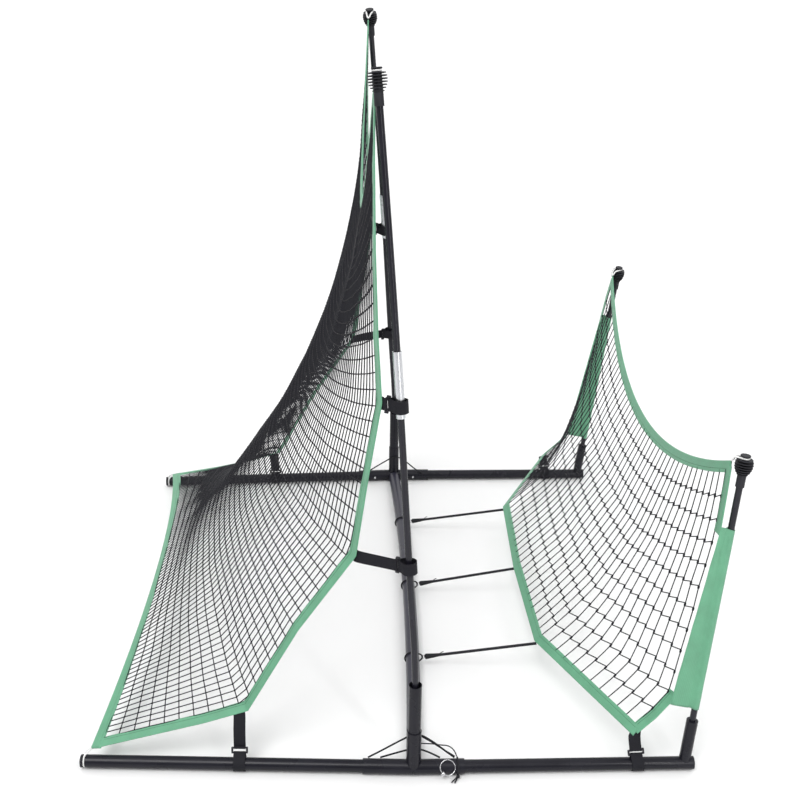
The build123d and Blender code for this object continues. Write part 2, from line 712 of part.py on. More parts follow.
UPPER_RING = pole_bend @ UPPER_RING_SHARE
MIDDLE_RING = pole_bend @ MIDDLE_RING_SHARE
STRAPS = {
    "upper_strap": (
        UPPER_RING,
        (pole_bend % UPPER_RING_SHARE).normalized(),
        POLE_RING_INNER,
        Vector(*TALL_EDGE[4]),
        4.9,
        POLE_BUCKLE,
    ),
    "middle_strap": (
        MIDDLE_RING,
        (pole_bend % MIDDLE_RING_SHARE).normalized(),
        POLE_RING_INNER,
        Vector(*TALL_EDGE[6]),
        4.9,
        POLE_BUCKLE,
    ),
    "lower_strap": (
        tee_centre + left_dir * LOWER_STRAP_AT,
        left_dir,
        RAIL_RING_INNER,
        LOWER_SEAM,
        9.0,
        RAIL_BUCKLE,
    ),
    "low_net_strap": (
        tee_centre + RIGHT_DIR * LOW_STRAP_AT,
        RIGHT_DIR,
        RAIL_RING_INNER,
        Vector(*LOW_EDGE[-1]),
        4.9,
        RAIL_BUCKLE,
    ),
}
for name, (centre, axis, inner_radius, corner, short_by, buckle_at) in STRAPS.items():
    with BuildPart() as near_strap:
        add(make_strap(centre, axis, inner_radius, corner, short_by, buckle_at))
    save_pair(near_strap.part, name)

with BuildPart() as near_buckles:
    for centre, axis, _, corner, short_by, buckle_at in STRAPS.values():
        buckle(centre, axis, corner, short_by, buckle_at)
with BuildPart() as strap_buckles:
    add(near_buckles.part)
    mirror(near_buckles.part, about=Plane.XZ, mode=Mode.ADD)
save(strap_buckles.part, "strap_buckles")

# ---------------------------------------------------------------- elastics to the cross tube
def ring(centre, axis, radius, wire):
    """A closed round ring of wire or cord, added to the part in progress."""
    with BuildSketch(axis_plane(centre, axis)) as section:
        with Locations((radius, 0)):
            Circle(wire / 2)
    revolve(section.sketch, axis=Axis(centre, axis))


def elastic_run(place):
    """The centre of an elastic's loop on the cross tube and its direction to the hem."""
    centre = cross_point(BUNGEE_Y[place])
    return centre, (BUNGEE_HEM[place] - centre).normalized()


for place in BUNGEE_Y:
    loop_centre, run = elastic_run(place)
    with BuildPart() as elastic:
        rod(loop_centre + run * ELASTIC_START, BUNGEE_HEM[place] - run * ELASTIC_END_GAP, BUNGEE_OD / 2)
    save(elastic.part, f"{place}_elastic")
    length = (BUNGEE_HEM[place] - loop_centre).length - ELASTIC_START - ELASTIC_END_GAP
    print(f"{place}_elastic: straight, length {length:.0f} mm")

with BuildPart() as elastic_hooks:
    for place in BUNGEE_Y:
        loop_centre, run = elastic_run(place)
        ring(loop_centre + run * HOOK_ALONG, run.cross(UP).cross(run).normalized(), HOOK_RADIUS, HOOK_OD)
save(elastic_hooks.part, "elastic_hooks")

with BuildPart() as tube_loops:
    for place in BUNGEE_Y:
        loop_centre, _ = elastic_run(place)
        ahead = cross_point(BUNGEE_Y[place] + 1)
        ring(loop_centre, (ahead - loop_centre).normalized(), TUBE_LOOP_RADIUS, TUBE_LOOP_OD)
save(tube_loops.part, "tube_loops")

# ---------------------------------------------------------------- quick-release pin and its ring
pin_centre = tee_centre + RIGHT_DIR * PIN_X
head_centre = pin_centre - Vector(0, TEE_OD / 2 + 1.2 + HEAD_RADIUS, 0)
lean = math.radians(RING_LEAN)
ring_up = Vector(0, math.sin(lean), math.cos(lean))
ring_side = math.radians(RING_SIDE)
ring_out = RIGHT_DIR * math.cos(ring_side) + ring_up * math.sin(ring_side)
ring_hinge = RIGHT_DIR * math.sin(ring_side) - ring_up * math.cos(ring_side)
ring_centre = head_centre + ring_out * RING_RADIUS

with BuildPart() as quick_pin:
    with BuildSketch(axis_plane(head_centre, Vector(0, 1, 0))) as profile:
        Circle(HEAD_RADIUS)
        with Locations((0, PIN_LENGTH / 2)):
            Rectangle(2 * PIN_RADIUS, PIN_LENGTH)
        with Locations((-50, 0)):
            Rectangle(100, 200, mode=Mode.SUBTRACT)
    revolve(profile.sketch, axis=Axis(head_centre, Vector(0, 1, 0)))
    rod(
        head_centre - ring_hinge * 10,
        head_centre + ring_hinge * 10,
        HEAD_HOLE_RADIUS,
        Mode.SUBTRACT,
    )
save(quick_pin.part, "quick_pin")

with BuildPart() as quick_pin_ring:
    ring(ring_centre, RIGHT_DIR.cross(ring_up), RING_RADIUS, RING_WIRE)
save(quick_pin_ring.part, "quick_pin_ring")
print("ring hinge at", head_centre, "axis", ring_hinge)

# ---------------------------------------------------------------- sprung rail buttons
def make_button(direction):
    """A domed lock button on its leaf spring, inside the rail."""
    inward = UP.cross(direction) * (1 if direction.X > 0 else -1)
    middle = tee_centre + direction * BUTTON_X
    tip = TEE_OD / 2 + BUTTON_PROUD
    with BuildPart() as button:
        with BuildSketch(axis_plane(middle, inward)) as profile:
            with Locations((0, (BUTTON_FLANGE_AT + tip) / 2)):
                RectangleRounded(2 * BUTTON_RADIUS, tip - BUTTON_FLANGE_AT, 1.5)
            with Locations((0, BUTTON_FLANGE_AT + 0.75)):
                Rectangle(11, 1.5)
            with Locations((-50, 0)):
                Rectangle(100, 200, mode=Mode.SUBTRACT)
        revolve(profile.sketch, axis=Axis(middle, inward))
        leaf_plane = Plane(
            origin=middle + inward * (BUTTON_FLANGE_AT - LEAF[2] + 0.2),
            x_dir=direction,
            z_dir=inward,
        )
        with BuildSketch(leaf_plane) as leaf:
            with Locations((LEAF[0] / 2 - 6, 0)):
                Rectangle(LEAF[0], LEAF[1])
        extrude(leaf.sketch, amount=LEAF[2])
    return button.part


with BuildPart() as near_left_button:
    add(make_button(left_dir))
save_pair(near_left_button.part, "left_button")

with BuildPart() as far_right_button:
    mirror(make_button(RIGHT_DIR), about=Plane.XZ, mode=Mode.ADD)
save(far_right_button.part, "far_right_button")

# ---------------------------------------------------------------- lanyard cords
def bend_radii(points):
    """Radii that take up 0.45 of the shorter run at each turn of a cord's route."""
    vectors = [Vector(*p) for p in points]
    radii = []
    for a, b, c in zip(vectors, vectors[1:], vectors[2:]):
        half_turn = math.radians((b - a).get_angle(c - b)) / 2
        radii.append(0.45 * min((b - a).length, (c - b).length) / math.tan(half_turn))
    return radii


def lanyard(points, name):
    """A cord tube on smooth bends through a hand-laid route."""
    radii = bend_radii(points)
    with BuildLine(mode=Mode.PRIVATE):
        route = FilletPolyline(*points, radius=radii)
    with BuildPart() as cord:
        swept_tube(route, LANYARD_OD / 2)
    print(name, "radii", [round(r, 1) for r in radii], "length", round(route.length, 1))
    expected = math.pi * LANYARD_OD**2 / 4 * route.length
    print(name, "volume", round(cord.part.volume), "expected", round(expected))
    return cord.part


def tie_point(x, angle):
    """A cord centre on the inner upper face of the near tee's sleeve."""
    axis_y = -HALF_WIDTH + (abs(x) * math.tan(toe) if x < 0 else 0)
    turn = math.radians(angle)
    return (x, axis_y + LANYARD_REST * math.cos(turn), AXIS_Z + LANYARD_REST * math.sin(turn))


UPPER_LANYARD = [
    tie_point(-112, 40),
    (-81, LANYARD_Y, 53),
    (-36, LANYARD_Y, 83),
    (6, LANYARD_Y, 109),
    (44, LANYARD_Y, 84),
    (76, LANYARD_Y, 53),
    tie_point(102, 42),
]
LOWER_LANYARD = [
    tie_point(-82, 42),
    (-32, LANYARD_Y, 50),
    (2, LANYARD_Y, 60),
    (36, LANYARD_Y, 50),
    tie_point(66, 44.5),
]
with BuildPart() as near_upper_lanyard:
    add(lanyard(UPPER_LANYARD, "upper_lanyard"))
save_pair(near_upper_lanyard.part, "upper_lanyard")

with BuildPart() as near_lower_lanyard:
    add(lanyard(LOWER_LANYARD, "lower_lanyard"))
save(near_lower_lanyard.part, "near_lower_lanyard")


def wrap_point(angle):
    """A point on the cord's turn over the outer side of the near sleeve."""
    turn = math.radians(angle)
    return Vector(
        WRAP_X,
        -HALF_WIDTH - LANYARD_REST * math.cos(turn),
        AXIS_Z + LANYARD_REST * math.sin(turn),
    )


with BuildPart() as near_lanyard_knot:
    middle = (WRAP_START + WRAP_END) / 2
    with BuildLine(mode=Mode.PRIVATE):
        wrap = ThreePointArc(wrap_point(WRAP_START), wrap_point(middle), wrap_point(WRAP_END))
    swept_tube(wrap, LANYARD_OD / 2)
    with Locations(KNOT_CENTRE):
        Sphere(KNOT_RADIUS)
    rod(KNOT_CENTRE, TAIL_END, LANYARD_OD / 2)
save(near_lanyard_knot.part, "near_lanyard_knot")
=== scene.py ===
import math
import random

import bpy
from mathutils import Matrix, Vector, noise


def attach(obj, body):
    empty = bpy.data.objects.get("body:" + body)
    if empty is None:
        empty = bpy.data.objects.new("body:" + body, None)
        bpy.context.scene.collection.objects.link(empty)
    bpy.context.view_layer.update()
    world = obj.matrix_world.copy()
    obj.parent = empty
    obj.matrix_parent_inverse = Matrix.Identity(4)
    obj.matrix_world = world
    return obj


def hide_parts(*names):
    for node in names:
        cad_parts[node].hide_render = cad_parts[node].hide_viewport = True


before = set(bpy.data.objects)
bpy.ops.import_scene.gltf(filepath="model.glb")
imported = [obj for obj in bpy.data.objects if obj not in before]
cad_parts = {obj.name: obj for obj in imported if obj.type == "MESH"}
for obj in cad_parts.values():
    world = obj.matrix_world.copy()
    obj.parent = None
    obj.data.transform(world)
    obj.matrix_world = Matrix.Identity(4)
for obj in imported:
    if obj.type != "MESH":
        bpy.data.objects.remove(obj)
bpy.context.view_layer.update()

# Ball rebounder: two nets with fabric hems between poles on a tube base.
# Lengths in the tables below are millimetres, as in the CAD source; MM turns them into metres.
MM = 0.001
rng = random.Random(7)
scene = bpy.context.scene

# ---------------------------------------------------------------- camera, floor and light
CAMERA_AT = Vector((-0.143, -2.972, 2.034))
PITCH = math.radians(24.62)
YAW = math.radians(2.49)
ROLL = math.radians(0.84)
LENS = 51.75

forward = Vector((math.sin(YAW) * math.cos(PITCH), math.cos(YAW) * math.cos(PITCH), -math.sin(PITCH)))
level_right = Vector((math.cos(YAW), -math.sin(YAW), 0))
level_up = level_right.cross(forward)
right = level_right * math.cos(ROLL) + level_up * math.sin(ROLL)
up = level_up * math.cos(ROLL) - level_right * math.sin(ROLL)
camera_data = bpy.data.cameras.new("camera")
camera_data.lens = LENS
camera_data.sensor_width = 36
camera = bpy.data.objects.new("camera", camera_data)
axes = Matrix((right, up, -forward)).transposed().to_4x4()
camera.matrix_world = Matrix.Translation(CAMERA_AT) @ axes
scene.collection.objects.link(camera)
scene.camera = camera


def sun_light(name, direction, strength, angle):
    data = bpy.data.lights.new(name, "SUN")
    data.energy = strength
    data.angle = math.radians(angle)
    light = bpy.data.objects.new(name, data)
    light.rotation_euler = Vector(direction).to_track_quat("-Z", "Y").to_euler()
    scene.collection.objects.link(light)


def strip_light(name, at, aim, size, power):
    """A tall narrow softbox."""
    data = bpy.data.lights.new(name, "AREA")
    data.shape = "RECTANGLE"
    data.size, data.size_y = size
    data.energy = power
    light = bpy.data.objects.new(name, data)
    light.location = at
    light.rotation_euler = (Vector(aim) - Vector(at)).to_track_quat("-Z", "Y").to_euler()
    scene.collection.objects.link(light)


sun_light("key_light", (0.35, 0.55, -1.0), 1.7, 32)
sun_light("fill_light", (-0.6, 0.3, -0.8), 0.35, 40)
strip_light("pole_streak", (1.6, -3.6, 1.8), (0, -0.7, 0.8), (0.22, 2.6), 26)

# The studio is darkest on the side that black tubes face and brightest behind and above them.
world = bpy.data.worlds.new("studio")
world.use_nodes = True
studio = world.node_tree
where = studio.nodes.new("ShaderNodeTexCoord")
split = studio.nodes.new("ShaderNodeSeparateXYZ")
studio.links.new(where.outputs["Generated"], split.inputs["Vector"])
shares = []
for axis_name, start, low, high in (("Y", -1, 0.16, 0.85), ("Z", 0, 0.0, 0.45)):
    share = studio.nodes.new("ShaderNodeMapRange")
    share.inputs["From Min"].default_value = start
    share.inputs["To Min"].default_value = low
    share.inputs["To Max"].default_value = high
    studio.links.new(split.outputs[axis_name], share.inputs["Value"])
    shares.append(share.outputs["Result"])
glow = studio.nodes.new("ShaderNodeMath")
studio.links.new(shares[0], glow.inputs[0])
studio.links.new(shares[1], glow.inputs[1])
studio.links.new(glow.outputs["Value"], studio.nodes["Background"].inputs["Strength"])
studio.nodes["Background"].inputs["Color"].default_value = (1.0, 1.0, 1.0, 1)
scene.world = world
scene.view_settings.view_transform = "Standard"


# ---------------------------------------------------------------- materials
class Paint:
    """A principled material built from a few procedural nodes."""

    def __init__(self, name, colour, roughness, metallic=0.0, **sockets):
        self.material = bpy.data.materials.new(name)
        self.material.use_nodes = True
        self.tree = self.material.node_tree
        self.shader = self.tree.nodes["Principled BSDF"]
        self.shader.inputs["Base Color"].default_value = (*colour, 1)
        self.shader.inputs["Roughness"].default_value = roughness
        self.shader.inputs["Metallic"].default_value = metallic
        for socket, value in sockets.items():
            self.shader.inputs[socket.replace("_", " ")].default_value = value
        self.bump_from = None

    def node(self, kind, **values):
        made = self.tree.nodes.new(kind)
        for key, value in values.items():
            if key in made.inputs:
                made.inputs[key].default_value = value
            else:
                setattr(made, key, value)
        return made

    def link(self, a, b):
        self.tree.links.new(a, b)

    def coords(self, kind, scale):
        where = self.node("ShaderNodeTexCoord")
        mapping = self.node("ShaderNodeMapping")
        mapping.inputs["Scale"].default_value = scale
        self.link(where.outputs[kind], mapping.inputs["Vector"])
        return mapping.outputs["Vector"]

    def noise(self, scale, detail=2.0, stretch=(1, 1, 1)):
        texture = self.node("ShaderNodeTexNoise", Scale=scale, Detail=detail)
        self.link(self.coords("Object", stretch), texture.inputs["Vector"])
        return texture.outputs["Fac"]

    def wave(self, scale, direction, distortion=0.0, stretch=(1, 1, 1)):
        texture = self.node("ShaderNodeTexWave", Scale=scale, Distortion=distortion)
        texture.bands_direction = direction
        self.link(self.coords("UV", stretch), texture.inputs["Vector"])
        return texture.outputs["Fac"]

    def math(self, operation, a, b):
        made = self.node("ShaderNodeMath", operation=operation)
        for socket, value in zip(made.inputs, (a, b)):
            if isinstance(value, (int, float)):
                socket.default_value = value
            else:
                self.link(value, socket)
        return made.outputs[0]

    def ramp(self, value, low, high, out_low, out_high):
        made = self.node("ShaderNodeMapRange")
        limits = {"From Min": low, "From Max": high, "To Min": out_low, "To Max": out_high}
        for key, number in limits.items():
            made.inputs[key].default_value = number
        self.link(value, made.inputs["Value"])
        return made.outputs["Result"]

    def tint(self, value, low, high, dark, light):
        """Base colour runs from dark to light as value runs from low to high."""
        mix = self.node("ShaderNodeMix", data_type="RGBA")
        self.link(self.ramp(value, low, high, 0, 1), mix.inputs["Factor"])
        colours = [s for s in mix.inputs if s.type == "RGBA"]
        colours[0].default_value = (*dark, 1)
        colours[1].default_value = (*light, 1)
        result = next(s for s in mix.outputs if s.type == "RGBA")
        self.link(result, self.shader.inputs["Base Color"])
        return self

    def rough(self, value, low, high, out_low, out_high):
        self.link(self.ramp(value, low, high, out_low, out_high), self.shader.inputs["Roughness"])
        return self

    def bump(self, value, distance, strength=1.0):
        made = self.node("ShaderNodeBump", Distance=distance, Strength=strength)
        self.link(value, made.inputs["Height"])
        if self.bump_from:
            self.link(self.bump_from, made.inputs["Normal"])
        self.bump_from = made.outputs["Normal"]
        self.link(self.bump_from, self.shader.inputs["Normal"])
        return self


def scaled(colour, factor):
    return tuple(min(1.0, c * factor) for c in colour)


NAVY_BLACK = (0.0095, 0.0092, 0.0140)
GREEN = (0.118, 0.345, 0.205)

tube_paint = Paint("tube_paint", NAVY_BLACK, 0.3, Specular_IOR_Level=0.24)
tube_blotch = tube_paint.noise(9.0, 4.0)
tube_grit = tube_paint.noise(420.0, 2.0)
tube_paint.tint(tube_blotch, 0.3, 0.75, scaled(NAVY_BLACK, 0.85), scaled(NAVY_BLACK, 1.35))
tube_paint.rough(tube_blotch, 0.3, 0.75, 0.20, 0.36)
tube_paint.bump(tube_grit, 0.00012, 0.5)

# The cross tube has the same black paint as the other tubes. Its base colour is lightened about
# threefold as a painted reflection of the overhead light on its upper face.
reflection_lit_cross_paint = Paint("cross_tube_paint_with_painted_reflection", scaled(NAVY_BLACK, 3.2), 0.3, Specular_IOR_Level=0.5)
cross_blotch = reflection_lit_cross_paint.noise(9.0, 4.0)
reflection_lit_cross_paint.tint(cross_blotch, 0.3, 0.75, scaled(NAVY_BLACK, 2.6), scaled(NAVY_BLACK, 3.8))
reflection_lit_cross_paint.rough(cross_blotch, 0.3, 0.75, 0.24, 0.4)
reflection_lit_cross_paint.bump(reflection_lit_cross_paint.noise(420.0, 2.0), 0.00012, 0.5)

pole_paint = Paint("pole_paint", scaled(NAVY_BLACK, 1.1), 0.24, Specular_IOR_Level=0.34)
pole_grain = pole_paint.noise(60.0, 3.0, stretch=(1, 1, 0.06))
pole_paint.tint(pole_grain, 0.3, 0.7, scaled(NAVY_BLACK, 0.9), scaled(NAVY_BLACK, 1.5))
pole_paint.rough(pole_grain, 0.3, 0.7, 0.16, 0.32)
pole_paint.bump(pole_grain, 0.00015, 0.4)

silver = Paint("silver_sleeve", (0.66, 0.67, 0.69), 0.3, metallic=1.0)
silver_grain = silver.noise(500.0, 3.0, stretch=(1, 1, 0.03))
silver.tint(silver_grain, 0.3, 0.7, (0.56, 0.57, 0.60), (0.74, 0.75, 0.77))
silver.rough(silver_grain, 0.3, 0.7, 0.22, 0.4)
silver.bump(silver_grain, 0.00008, 0.5)

zinc = Paint("zinc_steel", (0.62, 0.62, 0.64), 0.25, metallic=1.0)
zinc_spots = zinc.noise(260.0, 4.0)
zinc.tint(zinc_spots, 0.35, 0.7, (0.50, 0.50, 0.52), (0.72, 0.72, 0.73))
zinc.rough(zinc_spots, 0.3, 0.7, 0.16, 0.38)
zinc.bump(zinc_spots, 0.00006, 0.5)

cap_rubber = Paint("cap_plastic", (0.013, 0.013, 0.018), 0.5, Specular_IOR_Level=0.3)
cap_grain = cap_rubber.noise(900.0, 2.0)
cap_dust = cap_rubber.noise(30.0, 4.0)
cap_rubber.tint(cap_dust, 0.35, 0.75, (0.010, 0.010, 0.014), (0.022, 0.022, 0.028))
cap_rubber.rough(cap_dust, 0.3, 0.7, 0.42, 0.6)
cap_rubber.bump(cap_grain, 0.0001, 0.5)


def woven(name, colour, across, along, relief, roughness, **sockets):
    """Cloth woven of yarns that run along U and V of the piece's own metre-scaled map."""
    cloth = Paint(name, colour, roughness, **sockets)
    warp = cloth.wave(across, "X", distortion=0.25)
    weft = cloth.wave(along, "Y", distortion=0.25)
    weave = cloth.math("MAXIMUM", warp, weft)
    wear = cloth.noise(26.0, 5.0)
    cloth.tint(cloth.math("ADD", cloth.math("MULTIPLY", weave, 0.5), wear),
               0.45, 1.25, scaled(colour, 0.80), scaled(colour, 1.16))
    cloth.rough(wear, 0.3, 0.7, roughness - 0.06, min(1.0, roughness + 0.08))
    cloth.bump(weave, relief, 0.6)
    cloth.bump(cloth.noise(45.0, 3.0), relief * 4, 0.25)
    return cloth


green_cloth = woven("green_fabric", GREEN, 240.0, 240.0, 0.00018, 0.55, Sheen_Weight=0.12)
# The faces of the stitched dip in each hem take this green at 0.62 of the hem's brightness.
seam_cloth = woven("darker_green_stitch_dip", scaled(GREEN, 0.62), 240.0, 240.0, 0.0002, 0.7)
webbing_cloth = woven("black_webbing", (0.0095, 0.0095, 0.0135), 120.0, 300.0, 0.0004, 0.6,
                      Specular_IOR_Level=0.2)


def braided(name, colour, pitch, relief, roughness, **sockets):
    """Braided cord: two crossing diagonal bands over a metre-scaled map."""
    cord = Paint(name, colour, roughness, **sockets)
    mirrored = cord.wave(pitch, "DIAGONAL", stretch=(-1, 1, 1))
    braid = cord.math("MAXIMUM", cord.wave(pitch, "DIAGONAL"), mirrored)
    cord.tint(cord.math("ADD", cord.math("MULTIPLY", braid, 0.6), cord.noise(40.0, 3.0)),
              0.5, 1.3, scaled(colour, 0.7), scaled(colour, 1.4))
    cord.rough(cord.noise(80.0), 0.3, 0.7, roughness - 0.08, min(1.0, roughness + 0.08))
    cord.bump(braid, relief, 0.7)
    return cord


net_cord = braided("net_cord", (0.010, 0.010, 0.014), 260.0, 0.0002, 0.62, Specular_IOR_Level=0.25)
black_cord = braided("black_cord", (0.012, 0.012, 0.015), 200.0, 0.0003, 0.7, Specular_IOR_Level=0.25)
black_elastic = braided("black_elastic", (0.014, 0.014, 0.018), 160.0, 0.0003, 0.66,
                        Specular_IOR_Level=0.25)
white_elastic = braided("white_elastic", (0.78, 0.78, 0.76), 180.0, 0.0003, 0.7, Sheen_Weight=0.2)

floor_paint = Paint("floor_paint", (0.86, 0.86, 0.86), 0.55)
floor_paint.rough(floor_paint.noise(3.0), 0.3, 0.7, 0.5, 0.62)

# ---------------------------------------------------------------- floor
floor_mesh = bpy.data.meshes.new("floor")
FLOOR = 30.0
floor_mesh.from_pydata(
    [(-FLOOR, -FLOOR, 0), (FLOOR, -FLOOR, 0), (FLOOR, FLOOR, 0), (-FLOOR, FLOOR, 0)], [], [(0, 1, 2, 3)]
)
floor = bpy.data.objects.new("floor", floor_mesh)
floor_mesh.materials.append(floor_paint.material)
scene.collection.objects.link(floor)

# ---------------------------------------------------------------- CAD pieces keep their shape
CAD_PAINT = {
    tube_paint: ("tee", "left_rail", "right_rail", "riser"),
    reflection_lit_cross_paint: ("cross_tube",),
    pole_paint: ("lower_pole", "upper_pole", "short_pole"),
    silver: ("ferrule",),
    cap_rubber: ("tall_cap", "short_cap", "rail_cap", "rail_end_plugs", "strap_buckles"),
    zinc: ("left_button", "right_button", "quick_pin", "quick_pin_ring", "elastic_hooks"),
}
for paint, endings in CAD_PAINT.items():
    for node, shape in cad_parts.items():
        if node.endswith(endings):
            shape.data.materials.clear()
            shape.data.materials.append(paint.material)


# ---------------------------------------------------------------- mesh helpers
class Build:
    """Vertices, faces and metre-scaled UVs of one piece."""

    def __init__(self):
        self.points = []
        self.faces = []
        self.uvs = []
        self.slots = []

    def skin(self, rings, closed=True, capped=True, uv=None, slots=None):
        """Joins rings of the same length; closed rings make a tube, open ones a strip."""
        first = len(self.points)
        size = len(rings[0])
        for ring in rings:
            self.points.extend(ring)
        steps = size if closed else size - 1
        for i in range(len(rings) - 1):
            for k in range(steps):
                n = (k + 1) % size
                a, b = first + i * size + k, first + i * size + n
                c, d = first + (i + 1) * size + n, first + (i + 1) * size + k
                self.faces.append((a, b, c, d))
                self.slots.append(slots[k] if slots else 0)
                if uv:
                    along_a, along_b, around = uv[0][i], uv[0][i + 1], uv[1]
                    self.uvs.append([(around[k], along_a), (around[k + 1], along_a),
                                     (around[k + 1], along_b), (around[k], along_b)])
                else:
                    self.uvs.append([(0, 0)] * 4)
        if closed and capped:
            for start, order in ((first, -1), (first + (len(rings) - 1) * size, 1)):
                face = tuple(range(start, start + size))[::order]
                self.faces.append(face)
                self.slots.append(0)
                self.uvs.append([(0, 0)] * size)

    def blob(self, centre, radius):
        """A small knot: a low-sided ball rounded by its shading."""
        first = len(self.points)
        for direction in KNOT_POINTS:
            self.points.append(centre + Vector(direction) * radius)
        for face in KNOT_FACES:
            self.faces.append(tuple(first + k for k in face))
            self.slots.append(0)
            self.uvs.append([(0, 0)] * 3)

    def piece(self, name, paints):
        """The finished object; every soft piece rides on the root body."""
        mesh = bpy.data.meshes.new(name)
        mesh.from_pydata([tuple(p) for p in self.points], [], self.faces)
        layer = mesh.uv_layers.new(name="metres")
        flat = [number for face in self.uvs for pair in face for number in pair]
        layer.data.foreach_set("uv", flat)
        for paint in paints:
            mesh.materials.append(paint.material)
        mesh.polygons.foreach_set("material_index", self.slots)
        mesh.polygons.foreach_set("use_smooth", [True] * len(self.faces))
        mesh.validate()
        mesh.update()
        made = bpy.data.objects.new(name, mesh)
        scene.collection.objects.link(made)
        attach(made, "root")
        return made


KNOT_POINTS = [(0, 0, 1), (0, 0, -1)]
for level, turn in ((0.45, 0.0), (-0.45, 0.5)):
    for k in range(5):
        a = 2 * math.pi * (k + turn) / 5
        KNOT_POINTS.append((0.89 * math.cos(a), 0.89 * math.sin(a), level))
KNOT_FACES = []
for k in range(5):
    n = (k + 1) % 5
    KNOT_FACES += [(0, 2 + k, 2 + n), (1, 7 + n, 7 + k), (2 + k, 7 + k, 2 + n), (7 + k, 7 + n, 2 + n)]


def frames(points, hint):
    """(point, tangent, normal, binormal) along a line of points; the normal stays close to hint."""
    made = []
    for i, p in enumerate(points):
        tangent = (points[min(i + 1, len(points) - 1)] - points[max(i - 1, 0)]).normalized()
        side = hint(i) if callable(hint) else hint
        normal = (side - tangent * side.dot(tangent)).normalized()
        made.append((p, tangent, normal, tangent.cross(normal)))
        if not callable(hint):
            hint = normal
    return made


def lengths(points):
    run = [0.0]
    for a, b in zip(points, points[1:]):
        run.append(run[-1] + (b - a).length)
    return run


def tube(build, points, radius, sides=8, hint=Vector((0.3, 0.2, 0.93)), capped=True):
    """A round cord along points; radius is a number or a function of the share of the length."""
    run = lengths(points)
    rings = []
    for (p, _, normal, binormal), length in zip(frames(points, hint), run):
        r = radius(length / run[-1]) if callable(radius) else radius
        rings.append([
            p + (normal * math.cos(a) + binormal * math.sin(a)) * r
            for a in (2 * math.pi * k / sides for k in range(sides))
        ])
    nominal = radius(0.5) if callable(radius) else radius
    around = [2 * math.pi * nominal * k / sides for k in range(sides + 1)]
    build.skin(rings, uv=(run, around), capped=capped)


def nurbs_points(points, resolution=12, closed=False):
    """Points on the smooth NURBS line that has these control points, in metres."""
    curve = nurbs_curve("line", points, resolution, closed)
    holder = bpy.data.objects.new("line", curve)
    mesh = bpy.data.meshes.new_from_object(holder)
    made = [v.co.copy() for v in mesh.vertices]
    bpy.data.objects.remove(holder)
    bpy.data.meshes.remove(mesh)
    bpy.data.curves.remove(curve)
    return made


def nurbs_curve(name, points, resolution=12, closed=False):
    curve = bpy.data.curves.new(name, "CURVE")
    curve.dimensions = "3D"
    spline = curve.splines.new("NURBS")
    spline.points.add(len(points) - 1)
    for control, p in zip(spline.points, points):
        control.co = (*p, 1)
    spline.order_u = 3
    spline.use_endpoint_u = not closed
    spline.use_cyclic_u = closed
    spline.resolution_u = resolution
    return curve


def metres(points):
    return [Vector(p) * MM for p in points]


# ---------------------------------------------------------------- the frame's shape, as in CAD
HALF_WIDTH = 762.0
AXIS_Z = 19.0
TOE_IN = math.radians(2.8)  # the left rails' ends lean in towards each other
TALL_EDGE = metres([
    (-99, -527, 1652), (-100, -592, 1490), (-98, -632, 1310), (-92, -663, 1130), (-83, -683, 976),
    (-111, -686, 800), (-141, -690, 587), (-280, -690, 380), (-345, -694, 263), (-409, -698, 147),
    (-520, -700, 112), (-640, -705, 84), (-800, -716, 50),
])
TALL_MIDDLE = metres([
    (-121, 0, 1268), (-152, 0, 1110), (-192, 0, 985), (-246, 0, 850), (-310, 0, 712), (-388, 0, 575),
    (-478, 0, 440), (-568, 0, 318), (-652, 0, 215), (-736, 0, 130),
])
LOW_EDGE = metres([
    (721, -668, 823), (712, -690, 745), (703, -708, 660), (672, -728, 430), (641, -744, 208),
    (596, -752, 152), (545, -756, 99),
])
LOW_MIDDLE = metres([(682, 0, 637), (594, 0, 430), (480, 0, 250), (342, 0, 104)])
KNEE_U = 369 / 756
KNEE_BOW = 11 / 203


def along(points, fraction):
    run = lengths(points)
    left = fraction * run[-1]
    for a, b, low, high in zip(points, points[1:], run, run[1:]):
        if left <= high:
            return a.lerp(b, (left - low) / (high - low))
    return points[-1].copy()


def bowed(edge, middle, u, bow):
    return Vector((
        middle.x + (edge.x - middle.x) * bow,
        -u * edge.y,
        middle.z + (edge.z - middle.z) * bow,
    ))


def tall_surface(u, v):
    return bowed(along(TALL_EDGE, v), along(TALL_MIDDLE, v), u, u * u)


def low_surface(u, v):
    edge, middle = along(LOW_EDGE, v), along(LOW_MIDDLE, v)
    straight = KNEE_BOW * abs(u) / KNEE_U
    if abs(u) > KNEE_U:
        straight = KNEE_BOW + (1 - KNEE_BOW) * (abs(u) - KNEE_U) / (1 - KNEE_U)
    return bowed(edge, middle, u, (1 - v) * u * u + v * straight)


# ---------------------------------------------------------------- hems
HEM_WIDTH = 0.028
# Across the folded hem, from its outer fold to its inner edge: (share of the width, height above
# the middle in mm). The dip is the row of stitches that holds the fold shut.
HEM_TOP = [(0.0, 0.0), (0.012, 1.0), (0.05, 1.75), (0.12, 1.9), (0.22, 1.5), (0.34, 1.25), (0.48, 1.2),
           (0.60, 1.2), (0.655, 1.1), (0.675, 0.55), (0.695, 0.55), (0.715, 1.1), (0.77, 1.15),
           (0.86, 1.0), (0.95, 0.85), (1.0, 0.55)]
STITCHED = range(9, 11)
STITCH_AT = 0.68
STITCH_PITCH = 0.004


